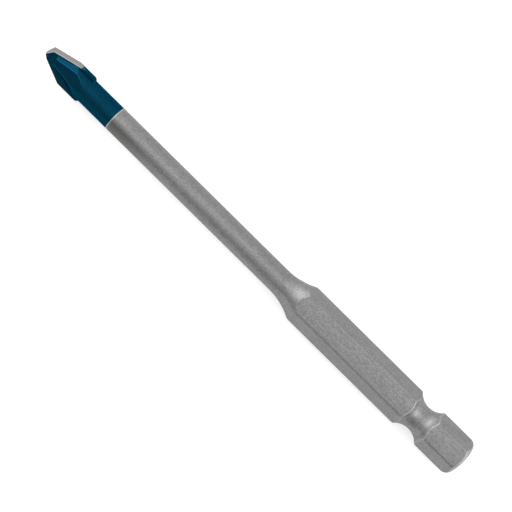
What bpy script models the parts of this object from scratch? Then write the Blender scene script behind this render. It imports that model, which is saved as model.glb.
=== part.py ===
"""A glass and tile drill bit with a quarter-inch hexagon shank.

It is two pieces. The steel shank is one turned piece: a hexagon that drops into a bit holder, a
ball groove that the holder's latch drops into, a long flare and a round shaft. The carbide tip is
a flat plate, brazed into a slot that is sawn through the end of the shaft, so that a steel jaw
backs it on each side. Each jaw is ground hollow towards the point, in three cuts, to let dust out.
The plate's two cutting edges are not alike: one is steep and long, the other short and blunter.

Metres. +X runs along the bit's axis from the end face of the shank to the point, and +Z is up, at
right angles to one flat of the hexagon. The origin is the centre of the shank's end face.
"""

import math

import bmesh
import bpy
from mathutils import Matrix, Vector

MM = 0.001

# Shank and shaft
OVERALL_LENGTH = 93.25 * MM
HEX_FLATS = 6.35 * MM
CORNER_CUT = 0.28 * MM  # what turning takes off the sharp width across the corners
HEX_LENGTH = 35.75 * MM  # from the end face to where the flare would meet the corners, unrounded
HEX_FRONT_RADIUS = 1.5 * MM  # rounds the corners over into the flare
END_ROUND_RADIUS = 1.2 * MM
GROOVE_FROM_END = 9.55 * MM
GROOVE_DIAMETER = 4.72 * MM
GROOVE_ARC_RADIUS = 3.2 * MM
SHAFT_DIAMETER = 4.36 * MM
FLARE_ARC_RADIUS = 10.75 * MM
COAT_LENGTH = 15.35 * MM  # the blue coat, measured back from the point

# Carbide tip
CUT_DIAMETER = 5.16 * MM
TIP_THICKNESS = 1.3 * MM
TIP_LENGTH = 9.3 * MM
TIP_HEEL_RADIUS = 1.1 * MM  # rounds the plate's two lower corners
TIP_TURN = math.radians(-21.5)  # how far the plate is turned about the axis from the top flat
BRAZE_GAP = 0.05 * MM

# The plate's two cutting edges. Side +1 cuts with its +Y edge, on the plate's +Z face, and side -1
# with its -Y edge, on the other face. Each has the distance from the point back to the edge's outer
# corner, the edge's angle to the axis, and the relief that drops the flank away behind the edge.
EDGES = (
    {"side": 1, "corner": 4.76 * MM, "angle": 24.2, "relief": 14.5},
    {"side": -1, "corner": 5.24 * MM, "angle": 14.3, "relief": 17.7},
)
# The three small facets that meet at the point, on the bit's axis, given in the same way.
POINT_FACETS = (
    {"side": 1, "angle": 41.2, "relief": 0.0},
    {"side": -1, "angle": 54.7, "relief": 26.8},
    {"side": 1, "angle": 89.0, "relief": 33.7},
)

# Each jaw's three hollow cuts, ground with the rim of a round wheel: the direction that the cut
# faces, in degrees round the axis from the plate's own face, its distance from the axis at the
# front of the jaw, and its slope there.
JAW_CUTS = (
    {"name": "jaw_middle_cut", "faces": 0.0, "front": 1.10 * MM, "slope": 0.0},
    {"name": "jaw_heel_cut", "faces": 45.0, "front": 1.18 * MM, "slope": 7.0},
    {"name": "jaw_edge_cut", "faces": -45.0, "front": 1.14 * MM, "slope": 1.0},
)
JAW_WHEEL_RADIUS = 20.0 * MM
JAW_SETBACK = 2.1 * MM  # from the point back to the front of the jaws
JAW_FRONT_SLOPE = 70.0
CUTTER_OVERLAP = 0.4 * MM  # how far cutters reach past the steel

ROUND_STEPS = 120
ARC_STEPS = 14


def clear_scene():
    """Removes the objects that the scene starts with."""
    for old in list(bpy.data.objects):
        bpy.data.objects.remove(old, do_unlink=True)


def finish(name, colour, roughness, metallic):
    """A plain surface finish."""
    made = bpy.data.materials.new(name)
    made.use_nodes = True
    made.diffuse_color = (*colour, 1.0)
    shader = made.node_tree.nodes["Principled BSDF"]
    shader.inputs["Base Color"].default_value = (*colour, 1.0)
    shader.inputs["Roughness"].default_value = roughness
    shader.inputs["Metallic"].default_value = metallic
    return made


def place(name, bm, finishes):
    """Turns a bmesh into a named object that wears these finishes."""
    mesh = bpy.data.meshes.new(name)
    bm.to_mesh(mesh)
    bm.free()
    for one in finishes:
        mesh.materials.append(one)
    made = bpy.data.objects.new(name, mesh)
    bpy.context.scene.collection.objects.link(made)
    return made


def cutter(name, bm, finishes):
    """An object that only cuts others and never shows."""
    made = place(name, bm, finishes)
    made.hide_render = True
    made.display_type = "WIRE"
    return made


def cut(target, tool, operation):
    """Adds a Boolean to the target that keeps the tool's finish on the faces that it makes."""
    boolean = target.modifiers.new(tool.name, "BOOLEAN")
    boolean.operation = operation
    boolean.object = tool
    boolean.solver = "EXACT"
    boolean.material_mode = "TRANSFER"


def arc(centre, radius, start, end, steps=ARC_STEPS):
    """Points on an arc about a centre, from one angle to another, in degrees."""
    angles = [math.radians(start + (end - start) * i / steps) for i in range(steps + 1)]
    return [(centre[0] + radius * math.cos(a), centre[1] + radius * math.sin(a)) for a in angles]


def grind(bm, point, normal, finish_index):
    """Takes off all that lies outside a plane, and closes the cut with a flat face."""
    everything = bm.verts[:] + bm.edges[:] + bm.faces[:]
    done = bmesh.ops.bisect_plane(
        bm, geom=everything, dist=1e-8, plane_co=point, plane_no=normal, clear_outer=True
    )
    rim = [e for e in done["geom_cut"] if isinstance(e, bmesh.types.BMEdge)]
    for face in bmesh.ops.holes_fill(bm, edges=rim)["faces"]:
        face.material_index = finish_index


def shank_outline():
    """The turned outline of the shank as points (distance from the end face, radius)."""
    corner = (HEX_FLATS / math.cos(math.radians(30)) - CORNER_CUT) / 2
    shaft = SHAFT_DIAMETER / 2
    points = arc((END_ROUND_RADIUS, corner - END_ROUND_RADIUS), END_ROUND_RADIUS, 180, 90, 8)

    groove_centre = (GROOVE_FROM_END, GROOVE_DIAMETER / 2 + GROOVE_ARC_RADIUS)
    lip = math.degrees(math.asin((groove_centre[1] - corner) / GROOVE_ARC_RADIUS))
    points += arc(groove_centre, GROOVE_ARC_RADIUS, 180 + lip, 360 - lip)

    flare_top = shaft + FLARE_ARC_RADIUS
    spread = math.degrees(math.acos((flare_top - corner) / FLARE_ARC_RADIUS))
    flare_end = HEX_LENGTH + FLARE_ARC_RADIUS * math.sin(math.radians(spread))
    # The rounding touches the corner's line, and the flare's arc from outside.
    rounding = (0.0, corner - HEX_FRONT_RADIUS)
    reach = FLARE_ARC_RADIUS + HEX_FRONT_RADIUS
    turn = math.degrees(math.acos((flare_top - rounding[1]) / reach))
    rounding = (flare_end - reach * math.sin(math.radians(turn)), rounding[1])
    points += arc(rounding, HEX_FRONT_RADIUS, 90, 90 - turn, 5)[:-1]
    points += arc((flare_end, flare_top), FLARE_ARC_RADIUS, 270 - turn, 270)

    points += [(OVERALL_LENGTH - COAT_LENGTH, shaft), (OVERALL_LENGTH - JAW_SETBACK, shaft)]
    return points


def turned(outline):
    """Spins an outline about the X axis and closes its two ends."""
    bm = bmesh.new()
    verts = [bm.verts.new((x, 0.0, r)) for x, r in outline]
    edges = [bm.edges.new(pair) for pair in zip(verts, verts[1:])]
    bmesh.ops.spin(
        bm, geom=verts + edges, cent=(0, 0, 0), axis=(1, 0, 0),
        angle=math.tau, steps=ROUND_STEPS, use_merge=True,
    )
    bmesh.ops.remove_doubles(bm, verts=bm.verts, dist=1e-8)
    bmesh.ops.holes_fill(bm, edges=[e for e in bm.edges if e.is_boundary])
    bmesh.ops.recalc_face_normals(bm, faces=bm.faces)
    return bm


def around(angle, x_part):
    """A unit direction: an angle round the axis from +Z towards -Y, leaning forwards by x_part."""
    lean = math.radians(x_part)
    side = math.cos(lean)
    return Vector((math.sin(lean), -side * math.sin(angle), side * math.cos(angle)))


def jaw_fronts():
    """The plane that ends each of the two jaws in front, as (point on it, outward normal)."""
    for jaw in (0.0, math.pi):
        start = around(jaw + TIP_TURN, 0.0) * TIP_THICKNESS / 2
        start.x = OVERALL_LENGTH - JAW_SETBACK
        yield start, around(jaw + TIP_TURN, JAW_FRONT_SLOPE)


def jaw_wheels(hollow):
    """What the wheel takes off both jaws in one of their cuts: the space outside its round rim."""
    slope = math.radians(hollow["slope"])
    front = OVERALL_LENGTH - JAW_SETBACK
    centre_x = front + JAW_WHEEL_RADIUS * math.sin(slope)
    centre_q = hollow["front"] + JAW_WHEEL_RADIUS * math.cos(slope)
    outside = SHAFT_DIAMETER / 2 + CUTTER_OVERLAP
    ahead = math.degrees(math.asin((OVERALL_LENGTH - centre_x) / JAW_WHEEL_RADIUS))
    behind = math.degrees(math.acos((centre_q - outside) / JAW_WHEEL_RADIUS))
    outline = arc((centre_x, centre_q), JAW_WHEEL_RADIUS, 270 + ahead, 270 - behind)
    outline.append((OVERALL_LENGTH, outside))
    half_width = SHAFT_DIAMETER
    bm = bmesh.new()
    for jaw in (0.0, math.pi):
        angle = jaw + TIP_TURN + math.radians(hollow["faces"])
        across = around(angle + math.pi / 2, 0.0) * half_width
        rims = []
        for offset in (-across, across):
            points = [around(angle, 0.0) * q + Vector((x, 0, 0)) + offset for x, q in outline]
            rims.append([bm.verts.new(point) for point in points])
        for rim in rims:
            bm.faces.new(rim)
        for i in range(len(outline)):
            j = (i + 1) % len(outline)
            bm.faces.new((rims[0][i], rims[0][j], rims[1][j], rims[1][i]))
    bmesh.ops.recalc_face_normals(bm, faces=bm.faces)
    return bm


def make_shank(steel, blue):
    """The shank and shaft in one: turned, then milled to a hexagon, ground to jaws and slotted."""
    bm = turned(shank_outline())
    coat_start = OVERALL_LENGTH - COAT_LENGTH
    for face in bm.faces:
        face.material_index = int(face.calc_center_median().x > coat_start)
    for flat in range(6):
        normal = around(math.radians(60 * flat), 0.0)
        grind(bm, normal * HEX_FLATS / 2, normal, 0)
    for point, normal in jaw_fronts():
        grind(bm, point, normal, 1)
    shank = place("steel_shank", bm, (steel, blue))
    for hollow in JAW_CUTS:
        cut(shank, cutter(hollow["name"], jaw_wheels(hollow), (blue,)), "DIFFERENCE")
    return shank


def tip_blank(margin):
    """The plate before its edges are ground, grown by a margin all round, lying in its own X-Y."""
    half_width = CUT_DIAMETER / 2 + margin
    back = OVERALL_LENGTH - TIP_LENGTH - margin
    radius = TIP_HEEL_RADIUS + margin
    half_thickness = TIP_THICKNESS / 2 + margin
    outline = arc((back + radius, half_width - radius), radius, 180, 90)
    outline += [(OVERALL_LENGTH + margin, half_width), (OVERALL_LENGTH + margin, -half_width)]
    outline += arc((back + radius, radius - half_width), radius, 270, 180)
    bm = bmesh.new()
    face = bm.faces.new([bm.verts.new((x, y, -half_thickness)) for x, y in outline])
    grown = bmesh.ops.extrude_face_region(bm, geom=[face])["geom"]
    top = [v for v in grown if isinstance(v, bmesh.types.BMVert)]
    bmesh.ops.translate(bm, verts=top, vec=(0, 0, 2 * half_thickness))
    bmesh.ops.recalc_face_normals(bm, faces=bm.faces)
    return bm


def flank(side, edge_angle, relief):
    """The outward normal of the flank behind a cutting edge: at right angles to the edge, and
    leaning towards the plate's other face by the relief."""
    edge, lean = math.radians(edge_angle), math.radians(relief)
    across = Vector((math.sin(edge), side * math.cos(edge), 0.0))
    return across * math.cos(lean) - Vector((0, 0, side * math.sin(lean)))


def make_tip(blue, bare):
    """The carbide plate: ground to its two unlike cutting edges, and round on its two sides."""
    bm = tip_blank(0.0)
    half_thickness = TIP_THICKNESS / 2
    half_width = math.sqrt((CUT_DIAMETER / 2) ** 2 - half_thickness**2)
    for edge in EDGES:
        side = edge["side"]
        corner = Vector((OVERALL_LENGTH - edge["corner"], side * half_width, side * half_thickness))
        grind(bm, corner, flank(side, edge["angle"], edge["relief"]), 1)
    for facet in POINT_FACETS:
        point = Vector((OVERALL_LENGTH, 0.0, 0.0))
        grind(bm, point, flank(facet["side"], facet["angle"], facet["relief"]), 1)
    tip = place("carbide_tip", bm, (blue, bare))
    tip.rotation_euler.x = TIP_TURN

    round_sides = bmesh.new()
    along_x = Matrix.Translation((OVERALL_LENGTH, 0, 0)) @ Matrix.Rotation(math.pi / 2, 4, "Y")
    bmesh.ops.create_cone(
        round_sides, cap_ends=True, segments=ROUND_STEPS, matrix=along_x,
        radius1=CUT_DIAMETER / 2, radius2=CUT_DIAMETER / 2, depth=4 * TIP_LENGTH,
    )
    cut(tip, cutter("cut_diameter", round_sides, (blue,)), "INTERSECT")
    return tip


def main():
    clear_scene()
    steel = finish("satin steel", (0.30, 0.30, 0.30), 0.45, 1.0)
    blue = finish("blue coat", (0.004, 0.045, 0.10), 0.4, 0.0)
    bare = finish("ground carbide", (0.42, 0.41, 0.42), 0.35, 1.0)

    shank = make_shank(steel, blue)
    make_tip(blue, bare)
    slot = cutter("tip_slot", tip_blank(BRAZE_GAP), (blue,))
    slot.rotation_euler.x = TIP_TURN
    cut(shank, slot, "DIFFERENCE")
    for piece in (shank, bpy.data.objects["carbide_tip"]):
        piece.data.shade_smooth()
        piece.data.set_sharp_from_angle(angle=math.radians(20))


main()
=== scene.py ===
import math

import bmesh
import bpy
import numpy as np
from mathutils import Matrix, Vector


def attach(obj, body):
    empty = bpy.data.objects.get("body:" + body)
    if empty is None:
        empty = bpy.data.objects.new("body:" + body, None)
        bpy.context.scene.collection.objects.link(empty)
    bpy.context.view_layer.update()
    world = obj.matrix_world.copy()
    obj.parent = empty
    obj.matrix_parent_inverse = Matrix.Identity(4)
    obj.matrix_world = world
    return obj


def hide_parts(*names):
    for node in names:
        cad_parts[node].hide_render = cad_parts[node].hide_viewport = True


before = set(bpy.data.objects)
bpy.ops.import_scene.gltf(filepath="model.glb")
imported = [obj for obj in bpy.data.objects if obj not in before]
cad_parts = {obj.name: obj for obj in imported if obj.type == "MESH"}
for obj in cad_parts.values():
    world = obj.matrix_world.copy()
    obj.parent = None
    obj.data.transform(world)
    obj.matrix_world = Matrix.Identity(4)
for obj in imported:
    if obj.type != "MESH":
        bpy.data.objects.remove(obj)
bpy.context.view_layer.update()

# %% [markdown]
# # A glass and tile drill bit, lying on a pale table
#
# The bit is two pieces: a steel shank that ends in two hollow-ground jaws, and a flat carbide plate
# held between them. The loaded frame gives both as plain solids. Here the shank is made again as
# one fine surface with softened edges, and both pieces get the finish that the real ones show:
# blasted steel, a blue coat over the working end, and bare ground carbide along the cutting edges.
#
# Lengths are metres. X runs from the shank's end face to the point, and Z is up.

MM = 0.001

# %% [markdown]
# ## The camera
#
# The photograph looks squarely at the bit from quite close: the far ends bend away a little, which
# is perspective and not tilt. So the camera is placed straight above, 228 mm off, and turned until
# the bit runs across the picture as it does there. A real lens length with a 36 mm sensor then sets
# how much is seen, which is easier to reason about than a field of view in degrees.

# %% Camera
CAMERA_DISTANCE = 228 * MM
FRAME_WIDTH = 82.05 * MM  # what the picture spans at the bit
CAMERA_AIM = Vector((46.29 * MM, -0.1733 * MM, 0.0))


def add_camera():
    """A camera above the bit. Its turn is three plain turns: about Z for the slope in the picture,
    then a hair about Y and X, because nobody holds a camera dead square."""
    turn = (Matrix.Rotation(math.radians(1.0), 3, "X")
            @ Matrix.Rotation(math.radians(-0.3), 3, "Y")
            @ Matrix.Rotation(math.radians(224.64), 3, "Z"))
    lens = bpy.data.cameras.new("camera")
    lens.sensor_width = 36.0
    lens.lens = 36.0 * CAMERA_DISTANCE / FRAME_WIDTH
    lens.clip_start = 0.01
    made = bpy.data.objects.new("camera", lens)
    eye = CAMERA_AIM + turn.col[2] * CAMERA_DISTANCE
    made.matrix_world = Matrix.Translation(eye) @ turn.to_4x4()
    bpy.context.scene.collection.objects.link(made)
    bpy.context.scene.camera = made
    return made


camera = add_camera()
print("camera: lens %.1f mm" % camera.data.lens)

# %% [markdown]
# ## The shank's sizes
#
# These are the frame's own sizes, once more. The shank is turned from a hexagon bar, so two shapes
# make it: a turned outline, and six flats. Where the outline is wider than the flats, the flats
# win, and that is what draws the curved ends of the hexagon's faces.

# %% Sizes
LENGTH = 93.25 * MM
HEX_FLATS = 6.35 * MM
CORNER = (HEX_FLATS / math.cos(math.radians(30)) - 0.28 * MM) / 2
FLAT_CROWN = 1 / (2 * 26 * MM)  # the flats of drawn bar bulge a hair, like an arc of 26 mm
SOFT_EDGE = 0.06 * MM  # how widely the edges that the lathe and the flats leave are rounded
HEX_LENGTH = 35.75 * MM
HEX_FRONT_RADIUS = 1.5 * MM
END_RADIUS = 1.2 * MM
GROOVE_X = 9.55 * MM
GROOVE_BOTTOM = 4.72 * MM / 2
GROOVE_ARC = 3.2 * MM
SHAFT = 4.36 * MM / 2
FLARE_ARC = 10.75 * MM
COAT_START = LENGTH - 15.35 * MM

PLATE_WIDTH = 5.16 * MM
PLATE_THICKNESS = 1.3 * MM
PLATE_LENGTH = 9.3 * MM
PLATE_HEEL = 1.1 * MM
PLATE_TURN = math.radians(-21.5)
SLOT_GAP = 0.015 * MM  # the coat closes most of the hair of room that the frame leaves for braze

# each jaw's hollow cuts: the way it faces, how far from the axis at the jaw's front, its slope, and
# how wide its edges are rounded: the last edge of the three is a wide rounded ridge, which the
# coat's edge marks make lighter as a painted highlight
JAW_CUTS = (
    (0.0, 1.10 * MM, 0.0, 0.035 * MM),
    (45.0, 1.18 * MM, 7.0, 0.035 * MM),
    (-45.0, 1.14 * MM, 1.0, 0.11 * MM),
)
WHEEL = 20.0 * MM
JAW_FRONT = LENGTH - 2.1 * MM
JAW_FRONT_SLOPE = math.radians(70.0)
print("across the corners: %.2f mm" % (2 * CORNER / MM))

# %% [markdown]
# ## One surface for the whole shank
#
# Seen from the axis, the shank's skin is met only once in each direction, so it can be written as
# a radius that depends on the place along the bit and on the angle round it. Every tool that shaped
# it gives such a radius: the lathe gives one, each flat of the hexagon gives one, and each grinding
# wheel gives one. What is left of the steel is the smallest of them. A plain minimum has knife
# edges, so a smooth minimum is used, which takes the corner off over a hundredth of a millimetre or
# so, as tumbling and blasting do to the real one.

# %% Radii that the tools leave
def smooth_min(a, b, width):
    """The smaller of two radii, rounded where they are closer than width: the minimum less the
    square of what is left of the width, over four widths."""
    near = np.maximum(width - np.abs(a - b), 0.0)
    return np.minimum(a, b) - near * near / (4.0 * width)


def turned_radius(x):
    """What the lathe leaves: the corner radius, less a quarter round at the end, a round-bottomed
    groove, and a flare that comes down on an arc to the shaft."""
    back = np.clip(END_RADIUS - x, 0.0, END_RADIUS)
    end = CORNER - END_RADIUS + np.sqrt(END_RADIUS**2 - back**2)
    across = np.clip(np.abs(x - GROOVE_X), 0.0, GROOVE_ARC)
    groove = GROOVE_BOTTOM + GROOVE_ARC - np.sqrt(GROOVE_ARC**2 - across**2)

    top = SHAFT + FLARE_ARC
    flare_end = HEX_LENGTH + math.sqrt(FLARE_ARC**2 - (top - CORNER) ** 2)
    reach = FLARE_ARC + HEX_FRONT_RADIUS
    turn = math.acos((top - CORNER + HEX_FRONT_RADIUS) / reach)
    round_x = flare_end - reach * math.sin(turn)
    ahead = np.clip(x - round_x, 0.0, HEX_FRONT_RADIUS * math.sin(turn))
    rounding = CORNER - HEX_FRONT_RADIUS + np.sqrt(HEX_FRONT_RADIUS**2 - ahead**2)
    behind = np.clip(flare_end - x, 0.0, FLARE_ARC * math.sin(turn))
    flare = top - np.sqrt(FLARE_ARC**2 - behind**2)
    front = np.where(x < round_x + HEX_FRONT_RADIUS * math.sin(turn), rounding, flare)
    return np.minimum(end, smooth_min(groove, front, SOFT_EDGE))


NEVER_MET = 1.0  # a metre out: the radius of a plane in the directions that don't meet it


def plane_radius(angle, faces, distance, crown=0.0):
    """How far out a plane is in each direction: its distance over the cosine of the angle to it. A
    crown drops it away from its middle line, by the square of the way out times the crown."""
    least = 0.05  # a smaller cosine than this means that the plane is as good as never met
    cosine = np.maximum(np.cos(angle - faces), least)
    out = np.minimum(distance * np.tan(np.arccos(cosine)), distance)
    return np.where(cosine > least, (distance - crown * out * out) / cosine, NEVER_MET)


def shank_radius(x, angle):
    """The smallest of the turned radius, the six flats and the cuts on both jaws, edges rounded."""
    radius = turned_radius(x)
    for flat in range(6):
        hexagon = plane_radius(angle, math.radians(60 * flat), HEX_FLATS / 2, FLAT_CROWN)
        radius = smooth_min(radius, hexagon, SOFT_EDGE)
    for jaw in (0.0, math.pi):
        for faces, front, slope, rounding in JAW_CUTS:
            lean = math.radians(slope)
            along = np.clip(x - (JAW_FRONT + WHEEL * math.sin(lean)), -WHEEL, WHEEL)
            hollow = front + WHEEL * math.cos(lean) - np.sqrt(WHEEL**2 - along**2)
            cut = plane_radius(angle, jaw + PLATE_TURN + math.radians(faces), hollow)
            radius = smooth_min(radius, cut, rounding)
        face = PLATE_THICKNESS / 2 + math.tan(JAW_FRONT_SLOPE) * (JAW_FRONT - x)
        radius = smooth_min(radius, plane_radius(angle, jaw + PLATE_TURN, face), SOFT_EDGE)
    return radius


# %% [markdown]
# The grid is close where the shape turns quickly: the rounded end, the groove, the ends of the
# hexagon's faces and the jaws. The straight stretches need only a few rows, because a long thin
# quad on a flat or on a cylinder is still exactly flat or round.

# %% The shank's skin
COLUMNS = 360
END_RINGS = (0.35, 0.8)  # two rings of points on the flat end face, as shares of its radius


def surface(name, x, y, z):
    """A closed mesh from a grid of points: rows run along the bit, columns round it, and each end
    row is closed with a fan of triangles to its middle."""
    rows, columns = x.shape
    points = np.stack([x, y, z], axis=-1).reshape(-1, 3)
    ends = np.array([points[:columns].mean(axis=0), points[-columns:].mean(axis=0)])
    index = np.arange(rows * columns).reshape(rows, columns)
    after = np.roll(index, -1, axis=1)
    quads = np.stack([index[:-1], index[1:], after[1:], after[:-1]], axis=-1).reshape(-1, 4)
    first = np.stack([index[0], after[0], np.full(columns, rows * columns)], axis=-1)
    last = np.stack([after[-1], index[-1], np.full(columns, rows * columns + 1)], axis=-1)
    mesh = bpy.data.meshes.new(name)
    faces = quads.tolist() + first.tolist() + last.tolist()
    mesh.from_pydata(np.vstack([points, ends]).tolist(), [], faces)
    made = bpy.data.objects.new(name, mesh)
    bpy.context.scene.collection.objects.link(made)
    return made


def shank_rows():
    """Places along the bit, close together where the shape turns quickly."""
    rim = END_RADIUS * (1 - np.cos(np.radians(np.linspace(0, 90, 22))))
    stretches = (
        rim,
        np.linspace(6.95 * MM, 12.15 * MM, 71),  # the groove
        np.linspace(33.9 * MM, 38.6 * MM, 60),  # the ends of the hexagon's faces, and the flare
        np.linspace(38.9 * MM, 41.2 * MM, 10),  # where the flare runs out
        np.array((60.0 * MM, COAT_START)),  # the shaft, with a row on the coat's line
        np.linspace(83.6 * MM, JAW_FRONT - 0.3 * MM, 90),  # the jaws
        np.linspace(JAW_FRONT - 0.27 * MM, JAW_FRONT, 10),  # their fronts
    )
    return np.concatenate(stretches)


def make_shank_skin():
    """The shank: at each place and angle a point at its radius, with the angle counted from
    straight up towards -Y. The flat end face has its rings before the first row."""
    rows = shank_rows()
    angle = np.linspace(0, math.tau, COLUMNS, endpoint=False)
    x, angle = np.meshgrid(rows, angle, indexing="ij")
    radius = shank_radius(x, angle)
    x = np.vstack([x[:1], x[:1], x])
    angle = np.vstack([angle[:1], angle[:1], angle])
    radius = np.vstack([radius[:1] * END_RINGS[0], radius[:1] * END_RINGS[1], radius])
    return surface("shank", x, -radius * np.sin(angle), radius * np.cos(angle))


shank = make_shank_skin()
print("shank skin:", len(shank.data.polygons), "faces")

# %% [markdown]
# ## The slot for the plate
#
# A saw runs a slot through the end of the shaft, and the plate is brazed into it with a hair of
# room all round. The slot isn't a radius seen from the axis, so it is cut afterwards, with a
# Boolean by a block in the shape of the plate. The cut is applied at once: what stays is a mesh.

# %% The slot
def plate_block(name, margin):
    """The plate before grinding, grown by a margin: its outline, with the two rounded heel corners,
    carried across its thickness and turned to the plate's angle."""
    half, radius = PLATE_WIDTH / 2 + margin, PLATE_HEEL + margin
    back = LENGTH - PLATE_LENGTH - margin
    corner = np.radians(np.linspace(180, 90, 15))
    xs = np.concatenate([back + radius + radius * np.cos(corner), [LENGTH + margin]])
    ys = np.concatenate([half - radius + radius * np.sin(corner), [half]])
    xs, ys = np.concatenate([xs, xs[::-1]]), np.concatenate([ys, -ys[::-1]])
    count = len(xs)
    deep = PLATE_THICKNESS / 2 + margin
    flat = np.stack([np.tile(xs, 2), np.tile(ys, 2), np.repeat([-deep, deep], count)], axis=-1)
    placed = flat @ np.array(Matrix.Rotation(PLATE_TURN, 3, "X")).T
    ring = np.arange(count)
    after = np.roll(ring, -1)
    sides = np.stack([ring, after, after + count, ring + count], axis=-1)
    mesh = bpy.data.meshes.new(name)
    broad = [ring[::-1].tolist(), (ring + count).tolist()]
    mesh.from_pydata(placed.tolist(), [], sides.tolist() + broad)
    bm = bmesh.new()
    bm.from_mesh(mesh)
    bmesh.ops.recalc_face_normals(bm, faces=bm.faces)
    bm.to_mesh(mesh)
    bm.free()
    made = bpy.data.objects.new(name, mesh)
    bpy.context.scene.collection.objects.link(made)
    return made


def cut_and_apply(piece, tool):
    """Takes the tool's shape out of the piece, keeps the result as its mesh and drops the tool."""
    boolean = piece.modifiers.new("slot", "BOOLEAN")
    boolean.operation = "DIFFERENCE"
    boolean.object = tool
    boolean.solver = "EXACT"
    graph = bpy.context.evaluated_depsgraph_get()
    done = bpy.data.meshes.new_from_object(piece.evaluated_get(graph))
    piece.modifiers.clear()
    piece.data = done
    bpy.data.objects.remove(tool)


def smooth_with_edges(piece, degrees):
    """Smooth shading, except over edges that turn by more than this."""
    piece.data.shade_smooth()
    piece.data.set_sharp_from_angle(angle=math.radians(degrees))


SHANK_CREASE = 32  # degrees: a sharper turn than this is shaded as an edge
cut_and_apply(shank, plate_block("slot_block", SLOT_GAP))
smooth_with_edges(shank, SHANK_CREASE)
shank.data.calc_loop_triangles()
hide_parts("steel_shank")
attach(shank, "root")
print("shank:", len(shank.data.loop_triangles), "triangles")

# %% [markdown]
# ## Where the edges are
#
# Handling polishes a blasted part along its edges first. The edges are also made lighter as a
# painted highlight, on the steel and more so on the blue coat. To paint both, the surface has to
# know where it is sharp. The measure is how much the normals spread along each mesh edge, for its
# length: the curvature. The most of it at each point is kept as an attribute, so the material can
# read it, and it stays put whichever way the bit is looked at. A second attribute says where the
# lathe's own surface is left, because only there does the steel have lathe lines.

# %% Edge marks for wear and painted highlight, and lathe attributes
EDGE_MARK_FROM, EDGE_MARK_FULLY = 1500.0, 5500.0  # curvatures per metre: radii of 0.67 and 0.18 mm
TURNED_WITHIN = 0.03 * MM  # how far in a point may lie and still count as left by the lathe


def read_vectors(items, name):
    """One vector for each vertex or face, as the rows of an array."""
    flat = np.empty(len(items) * 3)
    items.foreach_get(name, flat)
    return flat.reshape(-1, 3)


def mark_edges(piece, low, high):
    """Attribute edge: 0 where the outward curvature is under low, 1 where it is over high, per
    metre. Curvature along a mesh edge is (normal change . step) / step squared."""
    mesh = piece.data
    points = read_vectors(mesh.vertices, "co")
    normals = read_vectors(mesh.vertices, "normal")
    pairs = np.empty(len(mesh.edges) * 2, dtype=np.int32)
    mesh.edges.foreach_get("vertices", pairs)
    a, b = pairs.reshape(-1, 2).T
    step = points[b] - points[a]
    size = np.maximum((step**2).sum(axis=1), 1e-14)
    bend = ((normals[b] - normals[a]) * step).sum(axis=1) / size
    most = np.zeros(len(points))
    np.maximum.at(most, a, bend)
    np.maximum.at(most, b, bend)
    edge = np.clip((most - low) / (high - low), 0.0, 1.0)
    mesh.attributes.new("edge", "FLOAT", "POINT").data.foreach_set("value", edge)
    return edge


def mark_turned(piece):
    """Attribute turned: 1 where a point is still at the radius that the lathe left, 0 where a flat
    or a wheel has taken the surface further in."""
    mesh = piece.data
    x, y, z = read_vectors(mesh.vertices, "co").T
    inside = turned_radius(x) - np.hypot(y, z)
    on_end_face = (x < 0.02 * MM).astype(float)
    turned = np.maximum(np.clip(1.0 - inside / TURNED_WITHIN, 0.0, 1.0), on_end_face)
    mesh.attributes.new("turned", "FLOAT", "POINT").data.foreach_set("value", turned)
    return turned


wear_and_highlight = mark_edges(shank, EDGE_MARK_FROM, EDGE_MARK_FULLY)
lathe = mark_turned(shank)
print("edge marks on %.1f %%, lathe marks on %.1f %% of the points"
      % (100 * float((wear_and_highlight > 0.5).mean()), 100 * float((lathe > 0.5).mean())))

# %% [markdown]
# ## Writing materials as sums
#
# A node tree is a calculation. Dozens of Math nodes are hard to read back, so one small class wraps
# a socket, and adding or multiplying two of them adds the Math node that does it. Any other node
# comes from one method, add.

# %% Shader helpers
class Wire:
    """One output of a node. Sums and products of wires add Math nodes to its tree."""

    def __init__(self, tree, socket):
        self.tree, self.socket = tree, socket

    def math(self, operation, *others):
        node = self.tree.nodes.new("ShaderNodeMath")
        node.operation = operation
        for place, value in enumerate((self, *others)):
            plug(self.tree, node.inputs[place], value)
        return Wire(self.tree, node.outputs[0])

    def __add__(self, other):
        return self.math("ADD", other)

    def __sub__(self, other):
        return self.math("SUBTRACT", other)

    def __mul__(self, other):
        return self.math("MULTIPLY", other)

    def __truediv__(self, other):
        return self.math("DIVIDE", other)

    def __rsub__(self, other):
        return (self * -1.0) + other

    __radd__ = __add__
    __rmul__ = __mul__

    def ramp(self, low, high):
        """0 below low, 1 above high, smooth between. low may be the larger, which turns it over."""
        node = self.tree.nodes.new("ShaderNodeMapRange")
        node.interpolation_type = "SMOOTHSTEP"
        for name, value in (("Value", self), ("From Min", low), ("From Max", high)):
            plug(self.tree, node.inputs[name], value)
        return Wire(self.tree, node.outputs[0])


def plug(tree, socket, value):
    """Links a wire to a socket, or sets the socket to a plain value."""
    if isinstance(value, Wire):
        tree.links.new(value.socket, socket)
    else:
        socket.default_value = value


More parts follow.
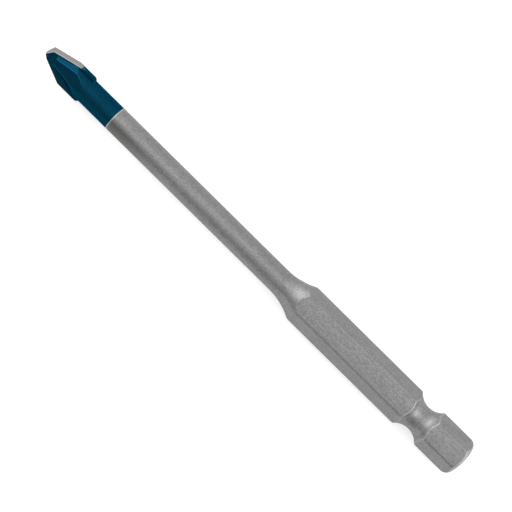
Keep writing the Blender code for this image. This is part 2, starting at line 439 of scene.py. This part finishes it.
class Board:
    """A node tree that is being wired."""

    def __init__(self, tree):
        self.tree = tree
        tree.nodes.clear()

    def add(self, kind, values=None, settings=None, output=0):
        """Adds a node: its settings first, then a value or a wire for each named socket."""
        node = self.tree.nodes.new("ShaderNode" + kind)
        for name, value in (settings or {}).items():
            setattr(node, name, value)
        for name, value in (values or {}).items():
            plug(self.tree, node.inputs[name], value)
        return Wire(self.tree, node.outputs[output]) if node.outputs else None

    def mix(self, factor, a, b, blend="MIX"):
        """A colour between a and b."""
        settings = {"data_type": "RGBA", "blend_type": blend}
        return self.add("Mix", {0: factor, 6: a, 7: b}, settings, 2)

    def stretch(self, vector, scale):
        """The vector with each part multiplied by its own scale."""
        return self.add("VectorMath", {0: vector, 1: scale}, {"operation": "MULTIPLY"})

    def noise(self, vector, scale, detail=2.0, rough=0.5):
        """A cloud between 0 and 1: scale is how many lumps there are to a metre."""
        values = {"Vector": vector, "Scale": scale, "Detail": detail, "Roughness": rough}
        return self.add("TexNoise", values)


def new_material(name):
    """A material, and the board that it is wired on."""
    made = bpy.data.materials.new(name)
    made.use_nodes = True
    return made, Board(made.node_tree)


def shade(level, tint):
    """A colour at a share of its brightness."""
    return tuple(level * t for t in tint) + (1.0,)


print("shader helpers ready")

# %% [markdown]
# ## Steel and coat on the shank
#
# The shank is blasted after turning, which leaves a matte, fine-grained grey with no clear
# direction, and faint rings from the lathe in the groove and on the flare. The working end is
# dipped in a blue coat up to a clean masked line, where a thin ring of steel was wiped bright. On
# the real bit the coat is a skin a few thousandths of a millimetre thick, so it has no step worth
# modelling. It could be a mask in one material. Two materials on two sets of faces are used, as the
# grid has a row of points exactly on the line, and each can then have its own tint at a glancing
# angle: steel goes pale there, the blue stays blue.

# %% Shank materials
STEEL = (0.302, 0.301, 0.300)
# bright steel for worn places, and for the painted highlight on edges
STEEL_BRIGHT = (0.62, 0.63, 0.65)
# the dark of the painted shade on one side behind the coat
STEEL_PAINTED_SHADE = (0.150, 0.148, 0.145)
STEEL_STRAW = (1.04, 0.98, 0.90)
# the side of the shaft that gets the painted shade
PAINTED_SHADE_SIDE = math.radians(47.0)  # from straight up towards +Y
BLUE = (0.0030, 0.050, 0.092)
# a lighter blue for worn edges and for the painted highlight on the jaw's ridge
BLUE_WEAR_AND_HIGHLIGHT = (0.006, 0.145, 0.260)
BLUE_GLANCING = (0.05, 0.54, 0.66, 1.0)
PATCHES, CLOUDS, GRAIN, SPECKS = 900.0, 1700.0, 4200.0, 7000.0  # noise scales: lumps to a metre
LATHE_LINES, DRAWN_LINES = 6500.0, 5200.0
EDGE_WEAR_AND_HIGHLIGHT, WIPED, RIM_WEAR = 0.55, 0.7, 0.5  # how far the steel goes to bright at each place


def coat_finish(board, place, wear_and_highlight):
    """Colour and roughness of the blue coat: cloudy at half a millimetre, and lighter by the given
    share, for wear and for a painted highlight."""
    cloud = board.noise(place, CLOUDS, 3.0, 0.6)
    speck = board.noise(place, SPECKS, 2.0, 0.6)
    colour = board.mix(cloud.ramp(0.3, 0.7), shade(0.86, BLUE), shade(1.12, BLUE))
    colour = board.mix(wear_and_highlight, colour, (*BLUE_WEAR_AND_HIGHLIGHT, 1.0))
    return colour, 0.30 + 0.08 * cloud + 0.05 * speck


def coat_material():
    """The metallic blue coat, lighter on its edges as wear and as a painted highlight, and more
    green at a glancing angle.
    """
    made, board = new_material("blue coat")
    place = board.add("TexCoord", output=3)
    edge = board.add("Attribute", settings={"attribute_name": "edge"}, output=2)
    # the coat's edges are lighter, partly as wear and partly as a painted highlight, broadest along
    # the jaw's wide ridge
    colour, roughness = coat_finish(board, place, edge * 0.7)
    grain = board.noise(place, GRAIN, 3.0, 0.6)
    bump = board.add("Bump", {"Strength": 0.25, "Distance": 0.004 * MM, "Height": grain})
    shader = board.add("BsdfPrincipled", {
        "Base Color": colour, "Metallic": 1.0, "Specular Tint": BLUE_GLANCING,
        "Roughness": roughness, "Normal": bump})
    board.add("OutputMaterial", {"Surface": shader})
    return made


def steel_material():
    """Blasted steel: two sizes of grain, faint lathe rings on the round parts and faint drawing
    lines along the flats. Its edges are brighter, partly worn and partly a painted highlight. Bit
    holders have rubbed the rim of the shank's end bright, and the ring beside the coat was wiped.
    The heat of brazing has left the steel behind it a shade warmer all round, and a painted shade
    darkens it on one side."""
    made, board = new_material("blasted steel")
    place = board.add("TexCoord", output=3)
    split = board.add("SeparateXYZ", {0: place})
    along, side, up = (Wire(board.tree, split.socket.node.outputs[i]) for i in range(3))
    edge = board.add("Attribute", settings={"attribute_name": "edge"}, output=2)
    coarse = board.noise(place, PATCHES, 3.0, 0.55)
    grain = board.noise(place, GRAIN, 3.0, 0.6)
    # lathe lines depend only on the place along the bit and on the distance from its axis
    turned = board.add("Attribute", settings={"attribute_name": "turned"}, output=2)
    out = (side * side + up * up).math("SQRT")
    lathe_lines = board.noise(board.add("CombineXYZ", {0: along, 1: out}), LATHE_LINES, 2.0, 0.55)
    drawn_lines = board.noise(board.stretch(place, (0.05, 1.0, 1.0)), DRAWN_LINES, 2.0, 0.5)
    lines = turned * lathe_lines + (1.0 - turned) * drawn_lines
    tone = 0.68 * grain + 0.12 * coarse + 0.20 * lines
    colour = board.mix(tone.ramp(0.36, 0.64), shade(0.77, STEEL), shade(1.23, STEEL))
    straw = along.ramp(COAT_START - 4.5 * MM, COAT_START)
    colour = board.mix(straw * 0.6, colour, (*STEEL_STRAW, 1.0), "MULTIPLY")

    # painted shade: behind the coat the steel is darkened on one side, about 47 degrees from
    # straight up towards +Y
    behind = along.ramp(COAT_START - 13.0 * MM, COAT_START - 0.5 * MM)
    toward = (side * math.sin(PAINTED_SHADE_SIDE) + up * math.cos(PAINTED_SHADE_SIDE)) / SHAFT
    painted_shade = behind * toward.ramp(0.55, 1.0) * (0.75 + 0.5 * coarse)
    colour = board.mix(painted_shade * 0.85, colour, (*STEEL_PAINTED_SHADE, 1.0))

    waver = board.noise(place, 1400.0) - 0.5
    line = along + waver * (0.05 * MM)
    wiped = line.ramp(COAT_START - 0.24 * MM, COAT_START - 0.14 * MM)
    rim = turned * along.ramp(0.95 * MM, 0.6 * MM) * along.ramp(0.02 * MM, 0.2 * MM)
    # edges are made bright partly as wear and partly as a painted highlight; the rim and the wiped
    # ring are wear
    bright = (edge * EDGE_WEAR_AND_HIGHLIGHT).math("MAXIMUM", wiped * WIPED).math("MAXIMUM", rim * RIM_WEAR)
    colour = board.mix(bright, colour, (*STEEL_BRIGHT, 1.0))
    roughness = 0.40 + 0.10 * (grain - 0.5) - 0.12 * bright
    height = 0.6 * grain + 0.4 * lines
    bump = board.add("Bump", {"Strength": 0.30, "Distance": 0.006 * MM, "Height": height})
    shader = board.add("BsdfPrincipled", {
        "Base Color": colour, "Metallic": 1.0, "Roughness": roughness, "Normal": bump})
    board.add("OutputMaterial", {"Surface": shader})
    return made


def dress(piece, first, second, chosen):
    """Gives the chosen faces the second material, the rest the first, and counts the chosen."""
    mesh = piece.data
    mesh.materials.clear()
    mesh.materials.append(first)
    mesh.materials.append(second)
    mesh.polygons.foreach_set("material_index", chosen.astype(np.int32))
    return int(chosen.sum())


dipped = read_vectors(shank.data.polygons, "center")[:, 0] > COAT_START
print("coated faces:", dress(shank, steel_material(), coat_material(), dipped))

# %% [markdown]
# ## The carbide plate
#
# The plate's shape is right as the frame gives it, but a frame's mesh is a heap of loose triangles.
# So it is copied, its doubled points are merged, and triangles that lie in one plane are joined to
# one face. Then each ground facet is a face of its own, its finish can be picked by the way it
# looks, and a hair of bevel can run along its edges. The two broad faces and the round sides are
# under the blue coat; the facets that were ground afterwards look forwards, and they are bare.

# %% The plate
PLATE_EDGE = 12  # degrees: the least turn that counts as an edge of the plate
PLATE_BEVEL = 0.02 * MM


def clean_copy(node, name):
    """A copy of a frame node with its points merged and its flat faces whole."""
    mesh = node.data.copy()
    mesh.name = name
    for spare in ("custom_normal", "sharp_edge", "sharp_face"):
        if spare in mesh.attributes:
            mesh.attributes.remove(mesh.attributes[spare])
    bm = bmesh.new()
    bm.from_mesh(mesh)
    bmesh.ops.remove_doubles(bm, verts=bm.verts, dist=0.0002 * MM)
    bmesh.ops.dissolve_limit(bm, angle_limit=math.radians(0.4), verts=bm.verts, edges=bm.edges)
    bm.to_mesh(mesh)
    bm.free()
    made = bpy.data.objects.new(name, mesh)
    bpy.context.scene.collection.objects.link(made)
    return made


def soften(piece, width):
    """A fine bevel along every edge that turns by more than PLATE_EDGE."""
    bevel = piece.modifiers.new("soften", "BEVEL")
    bevel.width = width
    bevel.segments = 2
    bevel.limit_method = "ANGLE"
    bevel.angle_limit = math.radians(PLATE_EDGE)
    bevel.harden_normals = True


plate = clean_copy(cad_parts["carbide_tip"], "plate")
smooth_with_edges(plate, PLATE_EDGE)
soften(plate, PLATE_BEVEL)
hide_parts("carbide_tip")
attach(plate, "root")
print("plate:", len(plate.data.polygons), "faces")

# %% [markdown]
# ## Ground carbide
#
# Bare carbide is a warm grey. The diamond wheel leaves fine lines across each facet. A narrow paler
# strip along the heel is a painted highlight, for the light that a facet opened up a little more
# there, so that it clears the hole, would catch. The wheel stops short of the facet's far tail,
# which keeps its blue.

# %% Plate materials
CARBIDE = (0.345, 0.330, 0.315)
# the paler, bluer grey of the painted highlight along the heel
CARBIDE_HEEL_HIGHLIGHT = (0.45, 0.46, 0.52)
PLATE_UP = (0.0, -math.sin(PLATE_TURN), math.cos(PLATE_TURN))
PLATE_SIDE = (0.0, math.cos(PLATE_TURN), math.sin(PLATE_TURN))
GROUND_TO = LENGTH - 6.16 * MM
HEEL_STRIP = (PLATE_THICKNESS / 2 - 0.42 * MM, PLATE_THICKNESS / 2 - 0.28 * MM)
TAIL_WORN = 0.45  # the coat is thin on the flank's blue tail
GRIND_LINES, CARBIDE_GRAIN = 6000.0, 6500.0  # noise scales


def carbide_material():
    """Ground carbide with a painted highlight along the heel, and the coat left on the far tail of
    the flanks.
    """
    made, board = new_material("ground carbide")
    place = board.add("TexCoord", output=3)
    along = board.add("SeparateXYZ", {0: place})
    up = board.add("VectorMath", {0: place, 1: PLATE_UP}, {"operation": "DOT_PRODUCT"}, 1)
    side = board.add("VectorMath", {0: place, 1: PLATE_SIDE}, {"operation": "DOT_PRODUCT"}, 1)
    # each edge cuts on one face of the plate, and its heel is on the other, where a painted
    # highlight runs
    heel_highlight = (up * side.math("SIGN") * -1.0).ramp(*HEEL_STRIP)
    lines = board.noise(board.stretch(place, (0.12, 1.0, 1.0)), GRIND_LINES, 3.0, 0.6)
    grain = board.noise(place, CARBIDE_GRAIN, 2.0, 0.6)
    tone = 0.6 * lines + 0.4 * grain
    ground = board.mix(tone.ramp(0.3, 0.7), shade(0.84, CARBIDE), shade(1.14, CARBIDE))
    # painted highlight: a paler, bluer strip along the heel
    ground = board.mix(heel_highlight * 0.8, ground, (*CARBIDE_HEEL_HIGHLIGHT, 1.0))
    blue = coat_finish(board, place, TAIL_WORN)[0]
    bare = along.ramp(GROUND_TO - 0.03 * MM, GROUND_TO + 0.03 * MM)
    colour = board.mix(bare, blue, ground)
    roughness = 0.42 + 0.10 * (lines - 0.5)
    bump = board.add("Bump", {"Strength": 0.3, "Distance": 0.004 * MM, "Height": lines})
    shader = board.add("BsdfPrincipled", {
        "Base Color": colour, "Metallic": 1.0, "Roughness": roughness, "Normal": bump})
    board.add("OutputMaterial", {"Surface": shader})
    return made


# a facet is ground if it looks forwards: the X part of its normal is well above nothing
ground = read_vectors(plate.data.polygons, "normal")[:, 0] > 0.1
coat = shank.data.materials[1]
print("bare facets:", dress(plate, coat, carbide_material(), ground))

# %% [markdown]
# ## The table and the light
#
# The table is plain white, and big enough that its edge is never seen. The camera, and anything
# shiny, sees it a little lighter than it is lit, which makes a clean white page that still keeps
# the soft shadow under the bit. The light is the sky dome alone: bright above, with a soft strip a
# little to the right, soft boxes towards the bit's ends, and a darker patch on the left. On a matte
# metal bar it is those differences that draw the roundness.

# %% Table
FLOOR_Z = -HEX_FLATS / 2
TABLE_HALF = 1.5  # metres
PAPER, GLOW, GLOSSY_SHARE = 0.83, 0.52, 0.10  # how white, the camera's extra, the mirror's share


def floor_material():
    """White paper. A glow that only the camera sees in full lifts it to a plain white page."""
    made, board = new_material("white table")
    path = board.add("LightPath")
    glossy = Wire(board.tree, path.socket.node.outputs["Is Glossy Ray"])
    seen = (path + glossy * GLOSSY_SHARE).math("MINIMUM", 1.0)
    diffuse = board.add("BsdfDiffuse", {"Color": (PAPER, PAPER, PAPER, 1.0)})
    glow = board.add("Emission", {"Color": (1.0, 1.0, 1.0, 1.0), "Strength": GLOW})
    both = board.add("AddShader", {0: diffuse, 1: glow})
    shown = board.add("MixShader", {0: seen, 1: diffuse, 2: both})
    board.add("OutputMaterial", {"Surface": shown})
    return made


def add_floor():
    """One square face that the bit's lowest flat lies on."""
    mesh = bpy.data.meshes.new("table")
    corners = np.array([(-1, -1), (1, -1), (1, 1), (-1, 1)]) * TABLE_HALF
    points = np.column_stack([corners, np.full(4, FLOOR_Z)])
    mesh.from_pydata(points.tolist(), [], [(0, 1, 2, 3)])
    mesh.materials.append(floor_material())
    made = bpy.data.objects.new("table", mesh)
    bpy.context.scene.collection.objects.link(made)


add_floor()
print("table at %.3f mm" % (FLOOR_Z / MM))

# %% Light
PLAIN_LEVEL = 0.80


def add_light():
    """The dome's strength for each direction: a plain level, and soft patches added to it or taken
    off it. Right is -Y in the frame, ahead is +X."""
    world = bpy.data.worlds.new("studio")
    bpy.context.scene.world = world
    world.use_nodes = True
    board = Board(world.node_tree)
    way = board.add("TexCoord", output=0)
    split = board.add("SeparateXYZ", {0: way})
    ahead, left, up = (Wire(board.tree, split.socket.node.outputs[i]) for i in range(3))
    right = left * -1.0

    def hump(value, centre, width):
        """A bell about the centre: e to the minus square of the distance over the width."""
        off = (value - centre) / width
        return (off * off * -1.0).math("EXPONENT")

    patches = (
        # a strip along the bit, a little to the right of straight above
        (0.34, hump(right, 0.28, 0.22) * up.ramp(0.0, 0.3)),
        # a box ahead: the bright spots on the flare and on the groove's back wall
        (1.45, hump(ahead, 0.63, 0.14) * right.ramp(-0.30, 0.05) * right.ramp(0.80, 0.45)),
        # two more ahead: the light cut on the jaw, and the ridge on its other side
        (1.3, hump(ahead, 0.50, 0.13) * hump(right, 0.72, 0.16)),
        (1.5, hump(left, 0.95, 0.14) * hump(ahead, 0.45, 0.17)),
        # a box behind: the groove's front wall
        (2.0, hump(ahead, -0.72, 0.15) * hump(right, 0.12, 0.28)),
        # a dark flag on the left, and a little less light far out on the right
        (-0.32, hump(left, 0.74, 0.28) * up.ramp(0.0, 0.5)
         * ahead.ramp(0.65, 0.2) * ahead.ramp(-0.95, -0.3)),
        (-0.12, right.ramp(0.35, 0.7)),
        # towards both ends the right side is lighter than the left
        (0.55, right * (1.0 - hump(ahead, 0.0, 0.4))),
    )
    lit = PLAIN_LEVEL
    for level, patch in patches:
        lit = lit + level * patch
    strength = lit * up.ramp(-0.1, 0.1)
    sky = board.add("Background", {"Color": (1.0, 1.0, 1.0, 1.0), "Strength": strength})
    page = board.add("Background", {"Color": (1.0, 1.0, 1.0, 1.0), "Strength": 1.0})
    seen = board.add("LightPath")
    shown = board.add("MixShader", {0: seen, 1: sky, 2: page})
    board.add("OutputWorld", {"Surface": shown})


add_light()
bpy.context.scene.view_settings.view_transform = "Standard"
print("light done")
